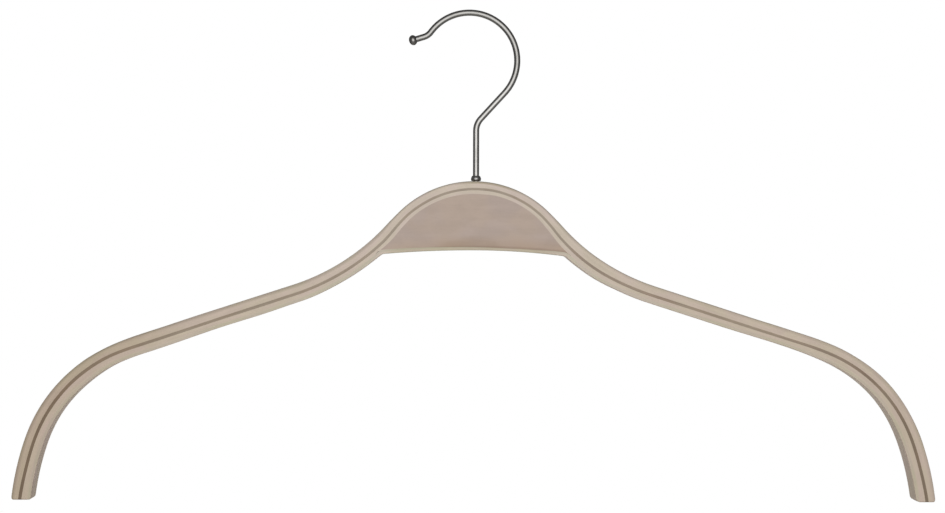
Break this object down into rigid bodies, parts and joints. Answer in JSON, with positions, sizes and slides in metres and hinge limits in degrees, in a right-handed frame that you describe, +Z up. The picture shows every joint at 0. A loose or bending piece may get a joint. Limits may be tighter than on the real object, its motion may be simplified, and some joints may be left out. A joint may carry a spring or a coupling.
{
  "type": "wooden clothes hanger",
  "caption": "Bent laminated wooden clothes hanger with a dark veneer line along its edge, a solid centre block and a swivelling steel hook with a ball end.",
  "frame": {"origin": "the rail seat: the inside of the hook, at the top, on the axis of its shank", "axes": "+X along the bow with the hook open towards -X, +Y through the board's thickness away from the front, +Z up along the shank"},
  "size_m": [0.445, 0.012, 0.2374],
  "materials": {
    "pale_wood": "raw, finely sanded pale beech veneer, matt",
    "dark_wood": "thin dark brown veneer, matt",
    "block_wood": "raw, finely sanded beech, slightly greyer and darker than the veneers, matt",
    "steel": "satin bright steel wire"
  },
  "bodies": {
    "hook": {"hook_wire": "steel", "hook_collar": "steel"},
    "bow": {"outer_veneer": "pale_wood", "second_veneer": "pale_wood", "dark_core_veneer": "dark_wood", "arch_veneer": "pale_wood", "lower_veneer": "pale_wood", "centre_block": "block_wood", "retaining_washer": "steel"}
  },
  "joints": [
    {"name": "hook_swivel", "type": "hinge", "parent": "hook", "child": "bow", "pos_m": [0, 0, -0.0801], "axis": [0, 0, 1], "continuous": true}
  ]
}
